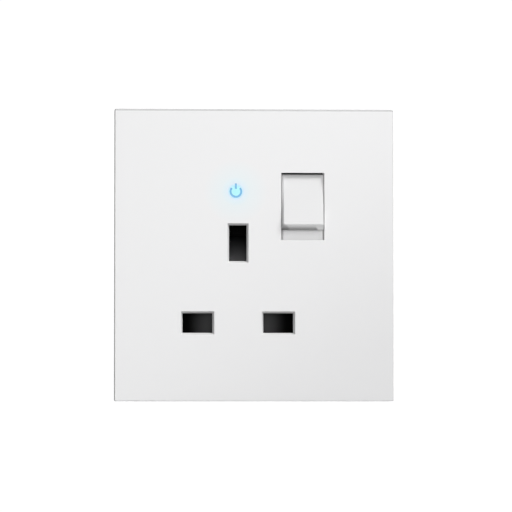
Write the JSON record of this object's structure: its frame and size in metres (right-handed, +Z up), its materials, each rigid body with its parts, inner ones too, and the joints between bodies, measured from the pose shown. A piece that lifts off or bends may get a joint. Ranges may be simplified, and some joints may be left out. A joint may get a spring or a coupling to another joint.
{
  "type": "switched wall socket",
  "caption": "Switched wall socket with a screwless clip-on plate, shuttered rectangular pin slots, a rocker switch and a back-lit power symbol",
  "frame": {"origin": "centre of the front plate's outline, on the wall plane, midway between the two fixing screws", "axes": "+Y points into the wall, so the front face looks along -Y; +Z is up the wall; +X is to the right as seen from the front"},
  "size_m": [0.086, 0.0324, 0.09],
  "materials": {
    "plate_plastic": "smooth white thermoset with a soft gloss",
    "lit_guide": "clear light guide lit pale blue from behind",
    "frame_plastic": "satin moulded off-white plastic",
    "housing_plastic": "satin moulded black thermoset",
    "shutter_plastic": "fine matte black plastic",
    "guide_plastic": "natural low-friction plastic",
    "spring_steel": "drawn spring wire",
    "zinc_steel": "bright zinc plating",
    "contact_brass": "rolled brass strip",
    "terminal_brass": "machined brass",
    "silver_tip": "silver alloy contact face",
    "board_green": "green solder mask on glass fibre",
    "lamp_plastic": "clear blue lamp lens",
    "resistor_coat": "lacquered resistor body",
    "diode_coat": "black moulded diode body",
    "brown_sleeve": "brown wire insulation",
    "blue_sleeve": "blue wire insulation"
  },
  "bodies": {
    "socket": {"front_plate": "plate_plastic", "light_guide": "lit_guide", "support_frame": "frame_plastic", "box_screws": "zinc_steel", "shutter_spring": "spring_steel", "contact_saddle": "contact_brass", "fixed_contact": "contact_brass", "fixed_tip": "silver_tip", "live_contact": "contact_brass", "neutral_contact": "contact_brass", "earth_contact": "contact_brass", "earth_strap": "contact_brass", "live_terminal": "terminal_brass", "neutral_terminal": "terminal_brass", "earth_left_terminal": "terminal_brass", "earth_right_terminal": "terminal_brass", "back_housing": "housing_plastic", "housing_screws": "zinc_steel", "indicator_board": "board_green", "indicator_lamp": "lamp_plastic", "indicator_resistor": "resistor_coat", "indicator_diode": "diode_coat", "indicator_live_lead": "brown_sleeve", "indicator_neutral_lead": "blue_sleeve"},
    "shutter_slider": {"shutter": "shutter_plastic"},
    "rocker_key": {"rocker": "plate_plastic", "rocker_spring": "spring_steel"},
    "plunger_pin": {"rocker_plunger": "guide_plastic"},
    "seesaw": {"moving_contact": "contact_brass", "moving_tip": "silver_tip"},
    "live_clamp": {"live_terminal_screw": "zinc_steel"},
    "neutral_clamp": {"neutral_terminal_screw": "zinc_steel"},
    "earth_left_clamp": {"earth_left_terminal_screw": "zinc_steel"},
    "earth_right_clamp": {"earth_right_terminal_screw": "zinc_steel"}
  },
  "joints": [
    {"name": "shutter_slide", "type": "slide", "parent": "socket", "child": "shutter_slider", "axis": [0, 0, -1], "range_m": [0, 0.0084], "stiffness_N_per_m": 100, "springref_m": -0.003, "deforming": ["shutter_spring"]},
    {"name": "rocker_hinge", "type": "hinge", "parent": "socket", "child": "rocker_key", "pos_m": [0.01517, -0.0049, 0.01502], "axis": [1, 0, 0], "range_deg": [0, 10]},
    {"name": "plunger_slide", "type": "slide", "parent": "rocker_key", "child": "plunger_pin", "axis": [0, -0.9962, 0.0872], "range_m": [0, 0.001], "stiffness_N_per_m": 900, "springref_m": -0.001, "deforming": ["rocker_spring"]},
    {"name": "seesaw_hinge", "type": "hinge", "parent": "socket", "child": "seesaw", "pos_m": [0.01502, 0.0075, 0.01502], "axis": [1, 0, 0], "range_deg": [-14, 0]},
    {"name": "live_clamp_slide", "type": "slide", "parent": "socket", "child": "live_clamp", "axis": [0, -1, 0], "range_m": [0, 0.0035]},
    {"name": "neutral_clamp_slide", "type": "slide", "parent": "socket", "child": "neutral_clamp", "axis": [0, -1, 0], "range_m": [0, 0.0035]},
    {"name": "earth_left_clamp_slide", "type": "slide", "parent": "socket", "child": "earth_left_clamp", "axis": [0, -1, 0], "range_m": [0, 0.0035]},
    {"name": "earth_right_clamp_slide", "type": "slide", "parent": "socket", "child": "earth_right_clamp", "axis": [0, -1, 0], "range_m": [0, 0.0035]}
  ],
  "couplings": [
    {"joint": "seesaw_hinge", "follows": "rocker_hinge", "ratio": -1.4}
  ]
}
